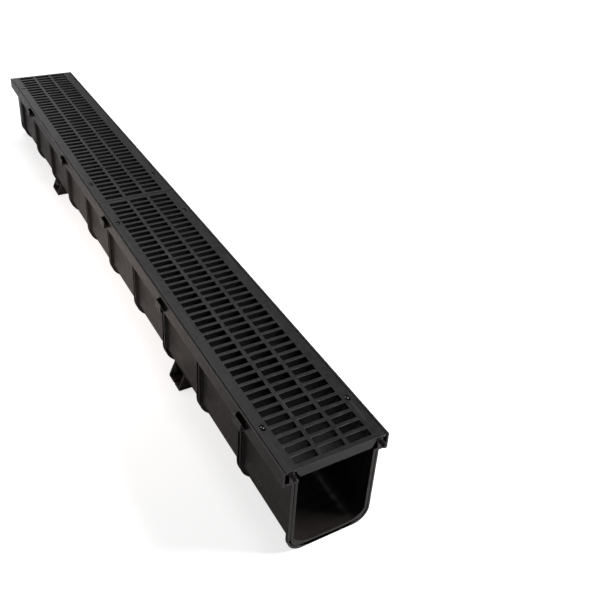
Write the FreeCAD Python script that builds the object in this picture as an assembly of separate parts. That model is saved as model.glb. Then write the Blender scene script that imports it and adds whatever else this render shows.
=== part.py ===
import FreeCAD, Part
import math
import os
from FreeCAD import Vector

# Plastic channel drain, one metre module: a deep trough with hoop ribs, fixing lugs and a rebated rim,
# closed on top by two slotted gratings that drop onto the ledge inside the rim.
# X runs across the channel, Y along it, Z up. The origin is on the plane the channel stands on,
# midway across and midway along. The spigot end faces -Y and the socket end faces +Y.

# ---- trough ----
length = 1000.0            # laying length, rim end to rim end
width = 106.0              # across the outer faces of the rim
depth = 101.0              # underside of the trough floor to the top of the rim
wall = 3.0                 # trough wall and floor
wall_taper = 0.6           # how far each side leans in from the ledge to the floor
corner_radius = 24.5       # outside radius between side and floor
bore_skin = 0.3            # clearance a cutting body runs past a face

# ---- rim and ledge ----
rim_height = 16.0          # underside of the ledge to the top of the rim
rim_wall = 2.0
ledge_thickness = 3.0
ledge_overhang = 9.0       # outer face of the rim to the outer face of the trough side

# ---- hoop ribs: pairs of thin fins round the trough ----
hoop_proud = 3.5
fin_thickness = 2.0
fin_gap = 4.0
hoop_first = 92.0          # spigot end to the middle of the first pair
hoop_pitch = 96.5
hoop_end_room = 20.0       # least distance from the last pair to the socket end

# ---- fixing lugs at the foot of each side ----
lug_first = 250.0          # spigot end to the middle of the first lug
lug_pitch = 500.0
lug_end_room = 40.0
lug_length = 29.0
lug_reach = 5.6            # outer edge of the lug past the foot of the side
lug_thickness = 3.0
lug_rise = 21.0            # top of the gussets above the ground plane
gusset_thickness = 2.5
lug_root = 26.0            # how far the lug plate runs in under the corner
nail_slot_width = 2.2
nail_slot_depth = 8.0

# ---- shallow pockets on the outside of the rim, beside every second hoop ----
pocket_reach = 6.0
pocket_length = 16.0       # outer wall of the pocket
pocket_flare = 1.5         # extra length at the rim, at the closed end
pocket_wall = 1.5
pocket_height = 8.5
pocket_drop = 2.5          # top of the pocket below the top of the rim
pocket_to_hoop = 16.5      # middle of the pocket to the middle of its hoop
pocket_every = 2

# ---- end frames: a squarer, thicker collar at each end; the one with the pegs has a sealing groove ----
frame_length = 4.0
frame_wall = 5.9
frame_radius = 16.5        # outside radius between side and floor
groove_inset = 2.4         # outside of the frame to the groove
groove_width = 0.9
groove_depth = 1.5

# ---- spigot end: two pegs; socket end: two cradles for the pegs ----
peg_radius = 2.5
peg_length = 7.5
peg_nose = 0.8             # chamfer on the end of the peg
peg_inset = 8.6            # outer face of the rim to the middle of the peg
peg_drop = 5.5             # top of the rim to the middle of the peg
peg_clearance = 0.2
cradle_wall = 0.9          # beside the bore of a cradle
cradle_length = 9.0
under_plate = 0.2          # posts and cradles to the underside of the grating

# ---- studs on the ledge that hold the gratings in place ----
stud_radius = 2.3
stud_below_top = 0.9       # top of the stud below the face of the grating
stud_inset = 9.0           # outer face of the rim to the middle of the stud
stud_from_end = 55.5       # end of the grating to the middle of the stud

# ---- gratings ----
side_gap = 0.8             # grating to the inside of the rim
end_gap = 0.5              # grating to the end of the channel
joint_gap = 1.0            # between the two gratings
below_rim = 0.4            # face of the grating below the top of the rim
plate_thickness = 2.5
bar_depth = 10.5
slot_pitch = 12.0
slot_width = 8.0
slot_draft = 0.4           # each side of a slot widens by this much towards the underside
side_margin = 11.5         # flat border beside the slots
long_bar = 4.0             # width of the two bars that run lengthwise
columns = 3
least_end_bar = 3.5
slot_wall = 1.8            # wall below the border at the ends of the slots
rail_thickness = 2.5       # outer rail that stands on the ledge
corner_open = 14.0         # length at each corner left clear of rails for the posts and cradles
skirt_cut = 4.5            # slanted lower corners of the end skirt
web_thickness = 2.0
web_depth = 6.0
web_every = 5              # one web under the border for this many slots
stud_hole_width = 5.0
stud_hole_length = 8.0

# ---- levels and lines that follow from the sizes ----
floor_z = hoop_proud
top_z = floor_z + depth
ledge_under_z = top_z - rim_height
ledge_z = ledge_under_z + ledge_thickness
face_z = top_z - below_rim
plate_under_z = face_z - plate_thickness
bar_under_z = face_z - bar_depth
half_width = width / 2.0
half_length = length / 2.0
side_top = half_width - ledge_overhang
side_foot = side_top - wall_taper
rim_inside = half_width - rim_wall
grating_width = 2.0 * (rim_inside - side_gap)
grating_length = (length - 2.0 * end_gap - joint_gap) / 2.0
slot_length = (grating_width - 2.0 * side_margin - (columns - 1) * long_bar) / columns


def box(x0, x1, y0, y1, z0, z1):
    """A block between two opposite corners."""
    return Part.makeBox(x1 - x0, y1 - y0, z1 - z0, Vector(x0, y0, z0))


def prism(points, direction):
    """A flat outline pushed along a vector."""
    outline = Part.makePolygon([Vector(*p) for p in points + points[:1]])
    return Part.Face(outline).extrude(Vector(*direction))


def mirrored(shape):
    """The same shape on the other side of the channel."""
    return shape.mirror(Vector(0, 0, 0), Vector(1, 0, 0))


def both_sides(shapes):
    """Shapes for one side together with their mirror images."""
    return shapes + [mirrored(s) for s in shapes]


def side_lean(offset):
    """Half width of the trough section at the ledge and at the floor, moved out by an offset."""
    slope = wall_taper / (ledge_under_z - floor_z)
    spread = offset * math.sqrt(1.0 + slope * slope)
    return side_top + spread, side_foot + spread - slope * offset


def section_core(offset, low, radius, y0, y1, top):
    """Solid between two ends with the sides of the trough moved out by an offset and a rounded foot."""
    at_ledge, at_floor = side_lean(offset)
    outline = [
        (-at_floor, y0, low),
        (at_floor, y0, low),
        (at_ledge, y0, ledge_under_z),
        (at_ledge, y0, top),
        (-at_ledge, y0, top),
        (-at_ledge, y0, ledge_under_z),
    ]
    core = prism(outline, (0, y1 - y0, 0))
    corners = [e for e in core.Edges if is_foot_corner(e, low)]
    return core.makeFillet(radius, corners)


def trough_core(offset, y0, y1, top):
    """Outside section of the trough, moved out by an offset, between two ends."""
    return section_core(offset, floor_z - offset, corner_radius + offset, y0, y1, top)


def frame_core(inset, y0, y1, top):
    """Outside section of the end frame, moved in by an inset, between two ends."""
    return section_core(-inset, inset, frame_radius - inset, y0, y1, top)


def is_foot_corner(edge, low):
    """True for the lengthwise edges at the bottom of a trough section."""
    box_of_edge = edge.BoundBox
    return box_of_edge.YLength > 1.0 and box_of_edge.ZLength < 0.01 and abs(box_of_edge.ZMin - low) < 0.01


def repeat(first, pitch, end_room):
    """Positions along Y from the spigot end, as many as fit."""
    count = int((length - end_room - first) / pitch) + 1
    return [first - half_length + i * pitch for i in range(count)]


def hoops():
    """Pairs of fins that run round the trough from ledge to ledge."""
    band = trough_core(hoop_proud, -half_length, half_length, ledge_under_z)
    shift = (fin_gap + fin_thickness) / 2.0
    slices = []
    for y in repeat(hoop_first, hoop_pitch, hoop_end_room):
        for middle in (y - shift, y + shift):
            reach = half_width
            y0 = middle - fin_thickness / 2.0
            slices.append(box(-reach, reach, y0, y0 + fin_thickness, 0.0, ledge_under_z))
    return band.common(Part.makeCompound(slices)).Solids


def lug(y):
    """Foot plate with two gussets and an open nail slot, on the +X side."""
    outer = side_foot + lug_reach
    y0 = y - lug_length / 2.0
    y1 = y + lug_length / 2.0
    plate = box(side_foot - lug_root, outer, y0, y1, 0.0, lug_thickness)
    slot = box(outer - nail_slot_depth + nail_slot_width / 2.0, outer + bore_skin,
               y - nail_slot_width / 2.0, y + nail_slot_width / 2.0, -bore_skin, lug_thickness + bore_skin)
    slot_end = Part.makeCylinder(nail_slot_width / 2.0, lug_thickness + 2.0 * bore_skin,
                                 Vector(outer - nail_slot_depth + nail_slot_width / 2.0, y, -bore_skin))
    plate = plate.cut(slot).cut(slot_end)
    gussets = []
    for start in (y0, y1 - gusset_thickness):
        outline = [
            (outer, start, 0.0),
            (outer, start, lug_thickness),
            (side_foot - wall / 2.0, start, lug_rise),
            (side_foot - wall, start, lug_rise),
            (side_foot - lug_root, start, 0.0),
        ]
        gussets.append(prism(outline, (0, gusset_thickness, 0)))
    return plate.fuse(gussets)


def pocket(y):
    """Pocket on the outside of the rim, open above and towards the spigot end, on the +X side."""
    z1 = top_z - pocket_drop
    z0 = z1 - pocket_height
    root = half_width - rim_wall / 2.0
    outer = half_width + pocket_reach
    half = pocket_length / 2.0
    foot = half + pocket_flare
    outline = [(root, y - half, z0), (outer, y - half, z0), (outer, y + half, z0), (root, y + foot, z0)]
    shell = prism(outline, (0, 0, z1 - z0))
    inner = [
        (half_width, y - half - bore_skin, z0 + pocket_wall),
        (outer - pocket_wall, y - half - bore_skin, z0 + pocket_wall),
        (outer - pocket_wall, y + half - pocket_wall, z0 + pocket_wall),
        (half_width, y + foot - pocket_wall, z0 + pocket_wall),
    ]
    return shell.cut(prism(inner, (0, 0, z1 - z0)))


def pockets():
    """A pocket each side beside every second hoop."""
    middles = repeat(hoop_first, hoop_pitch, hoop_end_room)[::pocket_every]
    return both_sides([pocket(y - pocket_to_hoop) for y in middles])


def rim():
    """Ledge and upstanding rim on the +X side."""
    inner_side = side_lean(-wall)[0]
    ledge = box(inner_side, half_width, -half_length, half_length, ledge_under_z, ledge_z)
    upstand = box(rim_inside, half_width, -half_length, half_length, ledge_under_z, top_z)
    return ledge.fuse(upstand)


def peg():
    """Chamfered peg and the post behind it, on the +X side of the spigot end."""
    x = half_width - peg_inset
    z = top_z - peg_drop
    body = Part.makeCylinder(peg_radius, peg_length - peg_nose, Vector(x, -half_length, z), Vector(0, -1, 0))
    nose = Part.makeCone(peg_radius, peg_radius - peg_nose, peg_nose,
                         Vector(x, -half_length - peg_length + peg_nose, z), Vector(0, -1, 0))
    post = box(x - peg_radius, x + peg_radius, -half_length, -half_length + wall,
               ledge_z, plate_under_z - under_plate)
    return post.fuse([body, nose])


def cradle():
    """Open-topped cradle on the ledge that the peg of the next channel drops into, on the +X side."""
    x = half_width - peg_inset
    z = top_z - peg_drop
    bore_radius = peg_radius + peg_clearance
    half = bore_radius + cradle_wall
    block = box(x - half, x + half, half_length - cradle_length, half_length, ledge_z, plate_under_z - under_plate)
    bore = Part.makeCylinder(bore_radius, peg_length + peg_clearance, Vector(x, half_length, z), Vector(0, -1, 0))
    return block.cut(bore)


def grating_starts():
    """Y of the spigot-side end of each grating."""
    first = -half_length + end_gap
    return first, first + grating_length + joint_gap


def stud(y):
    """Round stud on the ledge, on the +X side."""
    return Part.makeCylinder(stud_radius, face_z - stud_below_top - ledge_z,
                             Vector(half_width - stud_inset, y, ledge_z))


def stud_lines():
    """Y of every stud: two for each grating."""
    lines = []
    for start in grating_starts():
        lines.append(start + stud_from_end)
        lines.append(start + grating_length - stud_from_end)
    return lines


def end_frame(y0):
    """Collar that stands on the ground plane, lines the trough and reaches up to the ledge."""
    y1 = y0 + frame_length
    collar = frame_core(0.0, y0, y1, ledge_z)
    passage = frame_core(frame_wall, y0 - bore_skin, y1 + bore_skin, ledge_z + bore_skin)
    return collar.cut(passage)


def sealing_groove():
    """Ring cut into the end face at the -Y end."""
    y0 = -half_length - bore_skin
    y1 = -half_length + groove_depth
    inner = groove_inset + groove_width
    ring = frame_core(groove_inset, y0, y1, ledge_under_z)
    return ring.cut(frame_core(inner, y0 - bore_skin, y1 + bore_skin, ledge_under_z + bore_skin))


def channel_body():
    """The one-piece moulding: trough, rim, hoops, lugs, pockets, end frames, pegs, cradles and studs."""
    trough = trough_core(0.0, -half_length, half_length, ledge_under_z)
    lugs = [lug(y) for y in repeat(lug_first, lug_pitch, lug_end_room)]
    outside = hoops() + both_sides(lugs) + both_sides([rim()])
    bore = trough_core(-wall, -half_length - bore_skin, half_length + bore_skin, top_z + bore_skin)
    body = trough.fuse(outside).cut(bore)
    fittings = both_sides([peg(), cradle()] + [stud(y) for y in stud_lines()])
    frames = [end_frame(-half_length), end_frame(half_length - frame_length)]
    body = body.fuse(fittings + pockets() + frames).cut(sealing_groove())
    return body.removeSplitter()


def slot_cut(x0, y):
    """Tapered cutter for one slot, open above and below."""
    half_top = slot_width / 2.0
    half_low = half_top + slot_draft
    outline = [
        (x0, y - half_top, face_z),
        (x0, y - half_low, bar_under_z),
        (x0, y + half_low, bar_under_z),
        (x0, y + half_top, face_z),
    ]
    return prism(outline, (slot_length, 0, 0))


def slot_lines(start):
    """Middles of the slots of one grating, centred on its length."""
    count = int((grating_length - 2.0 * least_end_bar - slot_width) / slot_pitch) + 1
    first = start + (grating_length - (count - 1) * slot_pitch) / 2.0
    return [first + i * slot_pitch for i in range(count)]


def slots(start):
    """All slots of one grating."""
    edge = -grating_width / 2.0 + side_margin
    columns_x = [edge + i * (slot_length + long_bar) for i in range(columns)]
    return [slot_cut(x0, y) for y in slot_lines(start) for x0 in columns_x]


def rail(start):
    """Outer rail on the +X side, standing on the ledge."""
    outer = grating_width / 2.0
    y0 = start + corner_open
    y1 = start + grating_length - corner_open
    return box(outer - rail_thickness, outer, y0, y1, ledge_z, plate_under_z)


def webs(start):
    """Short webs under the border on the +X side, between the slots and the outer rail."""
    outer = grating_width / 2.0 - rail_thickness / 2.0
    inner = grating_width / 2.0 - side_margin + slot_wall / 2.0
    between = [y + slot_pitch / 2.0 for y in slot_lines(start)][web_every - 1::web_every]
    clear = [y for y in between if min(abs(y - s) for s in stud_lines()) > stud_hole_length]
    inside = [y for y in clear if start + corner_open < y < start + grating_length - corner_open]
    half = web_thickness / 2.0
    return [box(inner, outer, y - half, y + half, plate_under_z - web_depth, plate_under_z) for y in inside]


def stud_hole(y):
    """Long hole for a stud, on the +X side; the stud stands at its +Y end."""
    x = half_width - stud_inset
    radius = stud_hole_width / 2.0
    straight = stud_hole_length - stud_hole_width
    y1 = y + radius - stud_radius
    low = plate_under_z - bore_skin
    height = plate_thickness + 2.0 * bore_skin
    middle = box(x - radius, x + radius, y1 - straight, y1, low, low + height)
    ends = [Part.makeCylinder(radius, height, Vector(x, end, low)) for end in (y1, y1 - straight)]
    return middle.fuse(ends)


def skirt_corner(end, direction):
    """Slanted cut that opens the lower corner of an end skirt, on the +X side."""
    outer = grating_width / 2.0 - side_margin + slot_wall
    low = bar_under_z - bore_skin
    outline = [
        (outer - skirt_cut, end - direction * bore_skin, low),
        (outer + bore_skin, end - direction * bore_skin, low),
        (outer + bore_skin, end - direction * bore_skin, plate_under_z),
        (outer, end - direction * bore_skin, plate_under_z),
    ]
    return prism(outline, (0, direction * (least_end_bar + bore_skin), 0))


def grating(start):
    """One slotted grating: face plate, deep bars, end skirts, outer rails and webs."""
    end = start + grating_length
    outer = grating_width / 2.0
    core = outer - side_margin + slot_wall
    plate = box(-outer, outer, start, end, plate_under_z, face_z)
    bars = box(-core, core, start, end, bar_under_z, face_z)
    solid = plate.fuse([bars] + both_sides([rail(start)] + webs(start)))
    holes = [stud_hole(y) for y in stud_lines() if start < y < end]
    corners = [skirt_corner(start, 1.0), skirt_corner(end, -1.0)]
    cuts = slots(start) + both_sides(holes + corners)
    return solid.cut(Part.makeCompound(cuts)).removeSplitter()


def save(node, shape):
    """Write one node as STEP."""
    shape.exportStep(os.path.join("parts", node + ".step"))


def main():
    os.makedirs("parts", exist_ok=True)
    near_start, far_start = grating_starts()
    save("channel_body", channel_body())
    save("grating_spigot_end", grating(near_start))
    save("grating_socket_end", grating(far_start))


main()
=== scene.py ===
# %% [markdown]
# # Channel drain in black plastic
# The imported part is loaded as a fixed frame: one moulded channel body and two slotted gratings. Its
# shapes are right to the millimetre, but every edge on it is knife sharp and every face is one flat
# colour. What follows softens the edges, adds round stud heads, gives the plastic its finish and sets up
# the studio. All lengths are in metres.

# %% Load the frame
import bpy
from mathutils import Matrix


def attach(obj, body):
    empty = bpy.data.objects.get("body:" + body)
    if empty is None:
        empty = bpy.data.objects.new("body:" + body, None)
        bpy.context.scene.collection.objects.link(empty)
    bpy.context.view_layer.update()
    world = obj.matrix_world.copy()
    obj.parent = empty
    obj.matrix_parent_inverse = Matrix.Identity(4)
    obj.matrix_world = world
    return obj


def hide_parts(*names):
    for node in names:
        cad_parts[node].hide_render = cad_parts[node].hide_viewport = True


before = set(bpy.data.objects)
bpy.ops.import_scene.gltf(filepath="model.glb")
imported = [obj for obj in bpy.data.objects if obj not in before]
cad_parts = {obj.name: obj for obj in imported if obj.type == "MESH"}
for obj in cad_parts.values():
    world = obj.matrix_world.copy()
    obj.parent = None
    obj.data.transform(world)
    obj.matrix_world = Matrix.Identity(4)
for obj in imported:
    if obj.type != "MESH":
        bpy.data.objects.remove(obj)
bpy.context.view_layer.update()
import math
import bmesh
import bpy
from mathutils import Euler, Vector

# %% [markdown]
# ## The camera
# The view looks down along the channel from its spigot end and from its left. A long lens would flatten
# the run of slots and a wide one would blow up the near end, so a normal lens stands about three quarters
# of a metre from that end. The lens is shifted a little downwards, which takes the near end in without
# tilting the camera any further.

# %% Camera
EYE = (-0.29175, -0.87790, 0.59639)
TURN_DEGREES = (59.7401, -3.5114, -29.3914)
FOCAL_LENGTH_MM = 46.738
SENSOR_WIDTH_MM = 36.0
LENS_SHIFT = (0.0118, -0.1189)

def add_camera():
    data = bpy.data.cameras.new("studio_camera")
    data.sensor_width = SENSOR_WIDTH_MM
    data.lens = FOCAL_LENGTH_MM
    data.shift_x, data.shift_y = LENS_SHIFT
    data.clip_start, data.clip_end = 0.01, 50.0
    camera = bpy.data.objects.new("studio_camera", data)
    camera.location = EYE
    camera.rotation_euler = Euler([math.radians(angle) for angle in TURN_DEGREES], "XYZ")
    bpy.context.scene.collection.objects.link(camera)
    bpy.context.scene.camera = camera
    return camera

camera = add_camera()
print("camera at", tuple(round(v, 3) for v in camera.location), "with a lens of", FOCAL_LENGTH_MM, "mm")

# %% [markdown]
# ## Softened edges
# Injection moulded plastic has no sharp edge: every one carries a radius of a few tenths of a millimetre,
# and that radius is what draws the thin bright lines along the rim and the bars. The loaded mesh is made of
# loose triangles, so a copy is merged and its flat faces are joined before a bevel runs round the outer
# edges that turn by more than a set angle. An edge is left sharp where it, or one that meets it, is too
# short for the radius. So are the edges behind an end frame, where the face is a thin ring that a radius
# on both sides would fold over. The two end faces have the same trouble, and it is left in here: the rounds
# on their edges make them cross themselves, and the foot of the near frame reads dark for it. Leaving the
# edges that lie in those faces sharp as well would mend that.

# %% Choose the edges to round
GRATING_RADIUS, CHANNEL_RADIUS = 0.00028, 0.00035
SHARP_TURN = math.radians(28.0)
ROOM_IN_RADII = 2.2
END_FRAME_BACK = 0.4960
SAME_PLACE = 0.0001

def has_room(edge, radius):
    around = [other for vert in edge.verts for other in vert.link_edges]
    return min(other.calc_length() for other in around) > ROOM_IN_RADII * radius

def behind_end_frame(edge):
    return all(abs(abs(vert.co.y) - END_FRAME_BACK) < SAME_PLACE for vert in edge.verts)

def edges_to_round(work, radius):
    outer = [e for e in work.edges if e.is_convex and e.calc_face_angle(0.0) > SHARP_TURN]
    return [e for e in outer if has_room(e, radius) and not behind_end_frame(e)]

print("radius in mm: gratings", GRATING_RADIUS * 1000.0, "channel", CHANNEL_RADIUS * 1000.0)

# %% [markdown]
# The new narrow faces are marked in an attribute, so that the finish can find them. It paints them a little
# paler, partly for the wear that handling leaves on those edges first and partly as a painted highlight
# along each edge. A weighted normal modifier then keeps the wide faces flat in the light, so that only the
# narrow rounded ones turn it. The copy stands for the node it came from.

# %% Round the gratings
MERGE_DISTANCE = 1e-6
FLAT_TURN = math.radians(0.4)
ROUND_SEGMENTS = 2
FLAT_FACE_WEIGHT = 90

def rounded_mesh(work, name, radius):
    worn_and_lit_edges = work.faces.layers.float.new("edge_wear_and_highlight")
    edges = edges_to_round(work, radius)
    made = bmesh.ops.bevel(work, geom=edges, offset=radius, offset_type="OFFSET", segments=ROUND_SEGMENTS,
                           profile=0.5, affect="EDGES", clamp_overlap=False, material=-1, loop_slide=True,
                           harden_normals=False)
    # these faces are painted paler later: partly wear, partly a painted highlight along the edge
    for face in made["faces"]:
        face[worn_and_lit_edges] = 1.0
    for face in work.faces:
        face.smooth = True
    mesh = bpy.data.meshes.new(name)
    work.to_mesh(mesh)
    work.free()
    print(name, len(edges), "edges rounded,", len(mesh.polygons), "faces")
    return mesh

def softened_copy(node, name, radius, trim=None):
    work = bmesh.new()
    work.from_mesh(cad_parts[node].data)
    bmesh.ops.remove_doubles(work, verts=work.verts, dist=MERGE_DISTANCE)
    if trim:
        trim(work)
    bmesh.ops.dissolve_limit(work, angle_limit=FLAT_TURN, use_dissolve_boundaries=False,
                             verts=work.verts, edges=work.edges, delimit=set())
    piece = bpy.data.objects.new(name, rounded_mesh(work, name, radius))
    bpy.context.scene.collection.objects.link(piece)
    flatten = piece.modifiers.new("flat_faces", "WEIGHTED_NORMAL")
    flatten.mode = "FACE_AREA"
    flatten.weight = FLAT_FACE_WEIGHT
    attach(piece, "root")
    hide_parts(node)
    return piece

grating_near = softened_copy("grating_spigot_end", "grating_near", GRATING_RADIUS)
grating_far = softened_copy("grating_socket_end", "grating_far", GRATING_RADIUS)

# %% [markdown]
# ## Plain rim on the right
# The pockets along the rim are on the left side only: the right side of the rim is plain, so that a second
# run of drain can lie close beside it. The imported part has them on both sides, so the copy loses the right
# ones here. Everything beyond the rim's right face is deleted, and the openings that are left in that face
# are filled flush before any edge is rounded.

# %% Round the channel
RIM_FACE = 0.0530
RIM_FOOT = 0.0850

def trim_right_pockets(work):
    pocket_points = [v for v in work.verts if v.co.x > RIM_FACE + SAME_PLACE and v.co.z > RIM_FOOT]
    bmesh.ops.delete(work, geom=pocket_points, context="VERTS")
    outlines = [e for e in work.edges if e.is_boundary]
    bmesh.ops.triangle_fill(work, edges=outlines, use_beauty=True, normal=(1.0, 0.0, 0.0))
    still_open = sum(e.is_boundary for e in work.edges)
    print("right pockets:", len(pocket_points), "points removed, open edges left", still_open)

channel = softened_copy("channel_body", "channel", CHANNEL_RADIUS, trim_right_pockets)

# %% [markdown]
# ## Smooth and polished faces
# The trough is formed between two halves of a mould. The outside comes off a spark-roughened cavity. The
# inside comes off a smoother core, so that water and silt slide along it, and shows half as much grain. The
# two pegs at the spigot end, which have to slip into the next length, are polished bright. All of it is one
# moulding, so these faces are only marked in a second attribute, at half for the inside and in full for the
# pegs. The inner faces lie between the walls, under the gratings, and look towards the middle of the
# trough, and the pegs stand out beyond the end.

# %% Mark the inside of the trough and the pegs
INNER_HALF_WIDTH = 0.0500
GRATING_UNDERSIDE = 0.0900
TROUGH_MIDDLE = Vector((0.0, 0.0, 0.055))
LOOKS_INWARD = 0.25
SPIGOT_END = -0.5003
HIGH_POLISH, LIGHT_POLISH = 1.0, 0.5

def faces_inward(face):
    to_middle = TROUGH_MIDDLE - face.center
    to_middle.y = 0.0
    between_walls = abs(face.center.x) < INNER_HALF_WIDTH and face.center.z < GRATING_UNDERSIDE
    return between_walls and face.normal.dot(to_middle.normalized()) > LOOKS_INWARD

def mark_polished(piece):
    values = piece.data.attributes.new("polished", "FLOAT", "FACE")
    for face in piece.data.polygons:
        if face.center.y < SPIGOT_END:
            values.data[face.index].value = HIGH_POLISH
        elif faces_inward(face):
            values.data[face.index].value = LIGHT_POLISH
    return sum(item.value > 0.0 for item in values.data)

print("smooth and polished faces", mark_polished(channel))

# %% [markdown]
# ## Painted shade in the slots
# The walls of the slots are set to mirror far less light than the tops of the bars do. This is painted
# shade: it stands in for the shade that falls deep in the narrow slots, and it is what makes them read as
# dark. A third attribute marks them: upright faces inside the grating's outline.

# %% Mark the walls of the slots
SLOT_FIELD_X, SLOT_FIELD_Y = 0.0490, 0.4970
UPRIGHT = 0.5

# marks the slot walls that get painted shade
def mark_painted_slot_shade(piece):
    values = piece.data.attributes.new("painted_slot_shade", "FLOAT", "FACE")
    for face in piece.data.polygons:
        inside = abs(face.center.x) < SLOT_FIELD_X and abs(face.center.y) < SLOT_FIELD_Y
        if inside and abs(face.normal.z) < UPRIGHT:
            values.data[face.index].value = 1.0
    return sum(item.value > 0.0 for item in values.data)

print("dusty faces", mark_painted_slot_shade(grating_near), mark_painted_slot_shade(grating_far))

# %% [markdown]
# ## Stud heads
# Each grating is located by four short studs that stand up from the ledge through its long holes. On the
# real drain the stud's top is a low dome with a high polish, and it shows as a bright dot in a dark ring.
# The heads made here sit on the two outer studs at each end of the drain; the inner ones keep their flat
# tops. A dome is quickest from a sphere: flattened, cut off at its widest, and closed underneath. It starts
# a little below the stud's flat top and nearly wraps it, so the dome grows out of the stud.

# %% Stud domes
STUD_X, STUD_Y = 0.0440, 0.4445
DOME_FOOT, DOME_RADIUS, DOME_HEIGHT = 0.1029, 0.00245, 0.00155

def stud_dome(work, x, y):
    made = bmesh.ops.create_uvsphere(work, u_segments=32, v_segments=20, radius=DOME_RADIUS)
    bmesh.ops.scale(work, vec=(1.0, 1.0, DOME_HEIGHT / DOME_RADIUS), verts=made["verts"])
    bmesh.ops.translate(work, vec=(x, y, DOME_FOOT), verts=made["verts"])

def add_stud_heads():
    work = bmesh.new()
    for x in (-STUD_X, STUD_X):
        for y in (-STUD_Y, STUD_Y):
            stud_dome(work, x, y)
    bmesh.ops.bisect_plane(work, geom=work.verts[:] + work.edges[:] + work.faces[:],
                           plane_co=(0.0, 0.0, DOME_FOOT), plane_no=(0.0, 0.0, 1.0), clear_inner=True)
    bmesh.ops.holes_fill(work, edges=[e for e in work.edges if e.is_boundary], sides=0)
    bmesh.ops.recalc_face_normals(work, faces=work.faces)
    for face in work.faces:
        face.smooth = True
    mesh = bpy.data.meshes.new("stud_heads")
    work.to_mesh(mesh)
    work.free()
    heads = bpy.data.objects.new("stud_heads", mesh)
    bpy.context.scene.collection.objects.link(heads)
    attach(heads, "root")
    return heads

stud_heads = add_stud_heads()
print("stud heads", len(stud_heads.data.polygons), "faces")

# %% [markdown]
# ## Black moulded plastic
# The drain is moulded from black plastic with a good part of recycled stock, so the channel is a warm,
# slightly brown black and the gratings, from another batch, are a cooler one. A flat dark colour would look
# like paint. Here the colour drifts slowly where batches swirl, a fine grain from the mould breaks the
# gloss, long faint scuffs run the way the lengths are stacked and slid, and the rounded edges are painted a
# little paler, partly for wear and partly as a painted highlight along them. All of it is measured on the
# object itself, so it keeps its scale everywhere.

# %% Helpers for node trees
def new_node(tree, kind, **settings):
    node = tree.nodes.new(kind)
    for key, value in settings.items():
        setattr(node, key, value)
    return node

def noise(tree, place, scale, detail, roughness):
    node = new_node(tree, "ShaderNodeTexNoise", noise_dimensions="3D")
    node.inputs["Scale"].default_value = scale
    node.inputs["Detail"].default_value = detail
    node.inputs["Roughness"].default_value = roughness
    tree.links.new(place, node.inputs["Vector"])
    return node.outputs["Fac"]

def remap(tree, value, from_range, to_range):
    node = new_node(tree, "ShaderNodeMapRange", clamp=True)
    node.inputs["From Min"].default_value, node.inputs["From Max"].default_value = from_range
    node.inputs["To Min"].default_value, node.inputs["To Max"].default_value = to_range
    tree.links.new(value, node.inputs["Value"])
    return node.outputs["Result"]

def combine(tree, operation, first, second):
    node = new_node(tree, "ShaderNodeMath", operation=operation)
    tree.links.new(first, node.inputs[0])
    tree.links.new(second, node.inputs[1])
    return node.outputs["Value"]

def marked(tree, attribute):
    return new_node(tree, "ShaderNodeAttribute", attribute_name=attribute).outputs["Fac"]

# %% [markdown]
# Scuffs are a noise pattern stretched along the length of the drain. A Mapping node does the stretching: it
# is scaled up across and left long the other way. Only the peaks of the pattern are kept, so that the marks
# are few and separate. The edge pattern multiplies the marked edges by a patchy noise, because no edge is
# rubbed evenly. What it paints there is partly wear and partly a painted highlight along the edge.

# %% Scuffs, and edge wear with a painted highlight
SCUFFS_ACROSS, SCUFFS_ALONG = 420.0, 14.0
SCUFF_PEAKS = (0.60, 0.72)

def scuffs(tree, place):
    stretch = new_node(tree, "ShaderNodeMapping")
    stretch.inputs["Scale"].default_value = (SCUFFS_ACROSS, SCUFFS_ALONG, SCUFFS_ACROSS)
    tree.links.new(place, stretch.inputs["Vector"])
    marks = noise(tree, stretch.outputs["Vector"], scale=1.0, detail=2.0, roughness=0.6)
    return remap(tree, marks, SCUFF_PEAKS, (0.0, 1.0))

# paler edges: partly wear, partly a painted highlight along each edge
def edge_rub_and_highlight(tree, place):
    patches = noise(tree, place, scale=70.0, detail=4.0, roughness=0.6)
    patches = remap(tree, patches, (0.35, 0.65), (0.25, 1.0))
    return combine(tree, "MULTIPLY", marked(tree, "edge_wear_and_highlight"), patches)

print("scuffs are", SCUFFS_ACROSS / SCUFFS_ALONG, "times as long as they are wide")

# %% [markdown]
# Three bumps lie on each other. The grain of the mould is the finest, about half a millimetre across.
# Under it is a faint orange peel of a few millimetres, where the plastic froze unevenly on the steel. The
# broadest and shallowest stands for the slow waves of a long wall that shrinks as it cools. On the smooth
# and polished faces only half of all three is left.

# %% Grain and waves as bump
WAVES_PER_METRE, PEEL_PER_METRE, GRAIN_PER_METRE = 26.0, 330.0, 1900.0
PEEL_DEPTH_IN_GRAINS = 2.0

def raised(tree, height, depth, share, under=None):
    bump = new_node(tree, "ShaderNodeBump")
    bump.inputs["Distance"].default_value = depth
    tree.links.new(share, bump.inputs["Strength"])
    tree.links.new(height, bump.inputs["Height"])
    if under:
        tree.links.new(under, bump.inputs["Normal"])
    return bump.outputs["Normal"]

def moulded_surface(tree, place, share, grain_depth, wave_depth):
    waves = noise(tree, place, scale=WAVES_PER_METRE, detail=1.0, roughness=0.4)
    peel = noise(tree, place, scale=PEEL_PER_METRE, detail=3.0, roughness=0.6)
    grain = noise(tree, place, scale=GRAIN_PER_METRE, detail=2.0, roughness=0.5)
    surface = raised(tree, waves, wave_depth, share)
    surface = raised(tree, peel, grain_depth * PEEL_DEPTH_IN_GRAINS, share, surface)
    return raised(tree, grain, grain_depth, share, surface)

print("grain about", round(1000.0 / GRAIN_PER_METRE, 1), "mm across")

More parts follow.
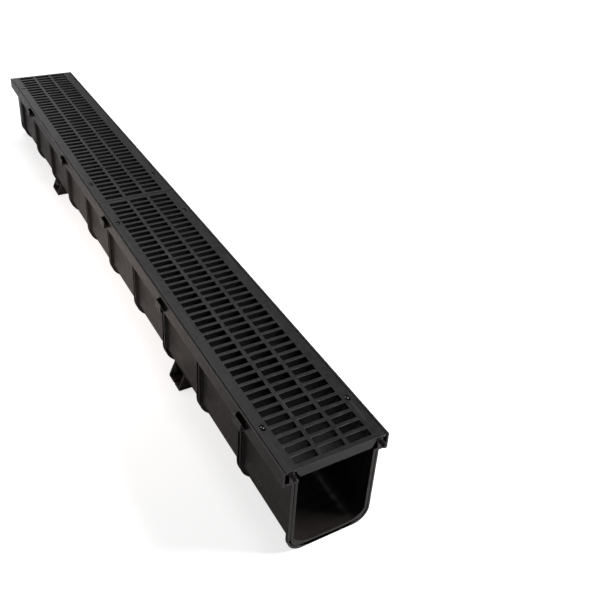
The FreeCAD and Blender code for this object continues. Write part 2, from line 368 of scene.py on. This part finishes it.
# %% [markdown]
# The colour goes from deep to pale with the swirl, and towards the worn colour in the scuffs. On the rounded
# edges it goes towards the same pale colour, partly for wear and partly as a painted highlight.

# %% The plastic's colour
SWIRLS_PER_METRE = 11.0
SWIRL_BAND = (0.36, 0.64)
SCUFF_PALENESS = 0.35

def blend_colour(tree, factor, first, second):
    node = new_node(tree, "ShaderNodeMix", data_type="RGBA")
    tree.links.new(factor, node.inputs["Factor"])
    for socket, colour in ((node.inputs[6], first), (node.inputs[7], second)):
        if isinstance(colour, tuple):
            socket.default_value = (*colour, 1.0)
        else:
            tree.links.new(colour, socket)
    return node.outputs[2]

def plastic_colour(tree, place, scuff, deep, pale, worn_and_highlight):
    batches = noise(tree, place, scale=SWIRLS_PER_METRE, detail=4.0, roughness=0.6)
    colour = blend_colour(tree, remap(tree, batches, SWIRL_BAND, (0.0, 1.0)), deep, pale)
    colour = blend_colour(tree, remap(tree, scuff, (0.0, 1.0), (0.0, SCUFF_PALENESS)), colour, worn_and_highlight)
    # the rounded edges go paler: partly wear, partly a painted highlight
    return blend_colour(tree, edge_rub_and_highlight(tree, place), colour, worn_and_highlight)

print("swirls about", round(1.0 / SWIRLS_PER_METRE, 2), "m across")

# %% [markdown]
# The roughness starts at satin or polished, drifts a little from place to place and is higher in the
# scuffs. How much light the plastic mirrors is one number for the channel and the studs. Only on the
# gratings does it change: it is lowered on the walls of the slots as painted shade.

# %% The plastic itself
GLOSS_PATCHES_PER_METRE = 170.0
GLOSS_DRIFT = 0.07
SCUFF_DULLNESS = 0.12
SMOOTH_SHARE = 0.5
# share of the mirroring left on the slot walls, as painted shade
PAINTED_SLOT_SHADE_SHARE = 0.22

def plastic_roughness(tree, place, scuff, satin, polished):
    base = remap(tree, marked(tree, "polished"), (LIGHT_POLISH, HIGH_POLISH), (satin, polished))
    patches = noise(tree, place, scale=GLOSS_PATCHES_PER_METRE, detail=5.0, roughness=0.7)
    drift = remap(tree, patches, (0.35, 0.65), (-GLOSS_DRIFT, GLOSS_DRIFT))
    duller = remap(tree, scuff, (0.0, 1.0), (0.0, SCUFF_DULLNESS))
    return combine(tree, "ADD", combine(tree, "ADD", base, drift), duller)

def moulded_plastic(name, deep, pale, worn_and_highlight, satin, polished, grain_depth, wave_depth, mirrored, painted_slot_shade=False):
    material = bpy.data.materials.new(name)
    material.use_nodes = True
    tree = material.node_tree
    shader = tree.nodes["Principled BSDF"]
    place = new_node(tree, "ShaderNodeTexCoord").outputs["Object"]
    skin = remap(tree, marked(tree, "polished"), (0.0, LIGHT_POLISH), (1.0, SMOOTH_SHARE))
    scuff = combine(tree, "MULTIPLY", scuffs(tree, place), skin)
    tree.links.new(plastic_colour(tree, place, scuff, deep, pale, worn_and_highlight), shader.inputs["Base Color"])
    tree.links.new(plastic_roughness(tree, place, scuff, satin, polished), shader.inputs["Roughness"])
    bumps = moulded_surface(tree, place, skin, grain_depth, wave_depth)
    tree.links.new(bumps, shader.inputs["Normal"])
    shader.inputs["Specular IOR Level"].default_value = mirrored
    if painted_slot_shade:
        # painted shade: the marked slot walls mirror less than the tops of the bars
        less = remap(tree, marked(tree, "painted_slot_shade"), (0.0, 1.0), (mirrored, mirrored * PAINTED_SLOT_SHADE_SHARE))
        tree.links.new(less, shader.inputs["Specular IOR Level"])
    return material

print("dusty walls mirror", PAINTED_SLOT_SHADE_SHARE, "of what the bars' tops do")

# %% [markdown]
# The three finishes share one recipe and differ in their numbers. The channel is the warmest and the
# gratings are the most matt. The studs are nearly smooth and bright.

# %% Put the finishes on
# The worn colour is used in the scuffs and on the rounded edges, where it is also a painted highlight.
channel_finish = moulded_plastic(
    "warm_black_moulding", deep=(0.0128, 0.0102, 0.0097), pale=(0.0170, 0.0136, 0.0129),
    worn_and_highlight=(0.056, 0.050, 0.048), satin=0.36, polished=0.12, grain_depth=0.00002, wave_depth=0.00035,
    mirrored=0.40)
grating_finish = moulded_plastic(
    "cool_black_moulding", deep=(0.0075, 0.0068, 0.0074), pale=(0.0120, 0.0110, 0.0118),
    worn_and_highlight=(0.050, 0.047, 0.049), satin=0.40, polished=0.40, grain_depth=0.00002, wave_depth=0.00022,
    mirrored=0.50, painted_slot_shade=True)
stud_finish = moulded_plastic(
    "polished_black_moulding", deep=(0.0090, 0.0080, 0.0080), pale=(0.0120, 0.0108, 0.0105),
    worn_and_highlight=(0.036, 0.034, 0.035), satin=0.13, polished=0.13, grain_depth=0.000004, wave_depth=0.00005,
    mirrored=0.60)
for piece, finish, slot in ((channel, channel_finish, "channel_plastic"),
                            (grating_near, grating_finish, "grating_plastic"),
                            (grating_far, grating_finish, "grating_plastic"),
                            (stud_heads, stud_finish, "channel_plastic")):
    piece.data.materials.clear()
    piece.data.materials.append(finish)
    print(piece.name, "finished in", finish.name)

# %% [markdown]
# ## Floor
# The drain lies on a wide pale floor that runs out of sight, so there is no horizon close behind it. Such
# goods are shown on pure white, which is had here by a little light that only the camera and clear
# materials see: the floor still takes the drain's shadow, and no more light falls on the black plastic. Its
# satin gloss sees the same floor, dimmed, as it does in a studio where the ground falls away into shade.

# %% Floor
FLOOR_PAINT = (0.62, 0.62, 0.62)
FLOOR_LIFT = 0.75
FLOOR_HALF_WIDTH = 8.0
FLOOR_LEVEL = -0.0002
SEEN_IN_GLOSS = 0.04

def add_floor():
    work = bmesh.new()
    bmesh.ops.create_grid(work, x_segments=1, y_segments=1, size=FLOOR_HALF_WIDTH)
    bmesh.ops.translate(work, vec=(0.0, 0.0, FLOOR_LEVEL), verts=work.verts)
    mesh = bpy.data.meshes.new("studio_floor")
    work.to_mesh(mesh)
    work.free()
    floor = bpy.data.objects.new("studio_floor", mesh)
    bpy.context.scene.collection.objects.link(floor)
    return floor

def seen_directly(tree):
    path = new_node(tree, "ShaderNodeLightPath")
    clear = combine(tree, "MAXIMUM", path.outputs["Is Camera Ray"], path.outputs["Is Transmission Ray"])
    gloss = remap(tree, path.outputs["Is Glossy Ray"], (0.0, 1.0), (0.0, SEEN_IN_GLOSS))
    return combine(tree, "MAXIMUM", clear, gloss)

def pale_floor_paint():
    paint = bpy.data.materials.new("studio_floor")
    paint.use_nodes = True
    tree = paint.node_tree
    tree.nodes.clear()
    matt = new_node(tree, "ShaderNodeBsdfDiffuse")
    matt.inputs["Color"].default_value = (*FLOOR_PAINT, 1.0)
    glow = new_node(tree, "ShaderNodeEmission")
    lift = remap(tree, seen_directly(tree), (0.0, 1.0), (0.0, FLOOR_LIFT))
    tree.links.new(lift, glow.inputs["Strength"])
    add = new_node(tree, "ShaderNodeAddShader")
    tree.links.new(matt.outputs[0], add.inputs[0])
    tree.links.new(glow.outputs[0], add.inputs[1])
    out = new_node(tree, "ShaderNodeOutputMaterial")
    tree.links.new(add.outputs[0], out.inputs["Surface"])
    return paint

floor = add_floor()
floor.data.materials.append(pale_floor_paint())
print("floor", FLOOR_PAINT[0], "lifted by", FLOOR_LIFT)

# %% [markdown]
# ## Light
# Black plastic is seen by what it mirrors, so the room is kept dim and even, and four soft lamps are placed
# by the face that each one serves. A softbox at the front right lights the floor that the end frame and the
# skirt of the grating look at. A smaller one, high behind the far end, lays a sheen over the top at the
# near end and keeps the dots on the studs crisp. A wide one lower behind it carries that sheen on to the far
# end. A low warm strip beside the long left wall lights the floor there, which the middle of that wall
# mirrors while both its ends fall off.

# %% World
ROOM_LEVEL = 0.07

def add_room():
    world = bpy.data.worlds.new("studio_world")
    bpy.context.scene.world = world
    world.use_nodes = True
    tree = world.node_tree
    background = tree.nodes["Background"]
    background.inputs["Color"].default_value = (1.0, 1.0, 1.0, 1.0)
    strength = remap(tree, seen_directly(tree), (0.0, 1.0), (ROOM_LEVEL, 1.0))
    tree.links.new(strength, background.inputs["Strength"])

add_room()
print("room at", ROOM_LEVEL, "of white")

# %% Lamps
def add_softbox(name, place, target, size, power, colour=(1.0, 1.0, 1.0)):
    data = bpy.data.lights.new(name, "AREA")
    data.shape = "RECTANGLE"
    data.size, data.size_y = size
    data.energy = power
    data.color = colour
    lamp = bpy.data.objects.new(name, data)
    lamp.visible_camera = False
    lamp.location = place
    lamp.rotation_euler = (Vector(place) - Vector(target)).to_track_quat("Z", "Y").to_euler()
    bpy.context.scene.collection.objects.link(lamp)

add_softbox("softbox_front_right", place=(1.6, -1.1, 1.5), target=(0.0, -0.2, 0.0),
            size=(0.8, 0.8), power=62.0)
add_softbox("softbox_high_back", place=(0.1, 1.4, 2.4), target=(0.0, -0.3, 0.0),
            size=(0.6, 0.5), power=17.0)
add_softbox("softbox_low_back", place=(-0.2, 2.2, 1.2), target=(0.0, 0.3, 0.1),
            size=(1.0, 0.6), power=8.0)
add_softbox("strip_left", place=(-0.25, 0.0, 0.15), target=(-0.06, 0.0, 0.03),
            size=(0.45, 0.10), power=0.55, colour=(1.0, 0.82, 0.76))
bpy.context.scene.view_settings.view_transform = "Standard"
print("lamps", sorted(lamp.name for lamp in bpy.data.lights))
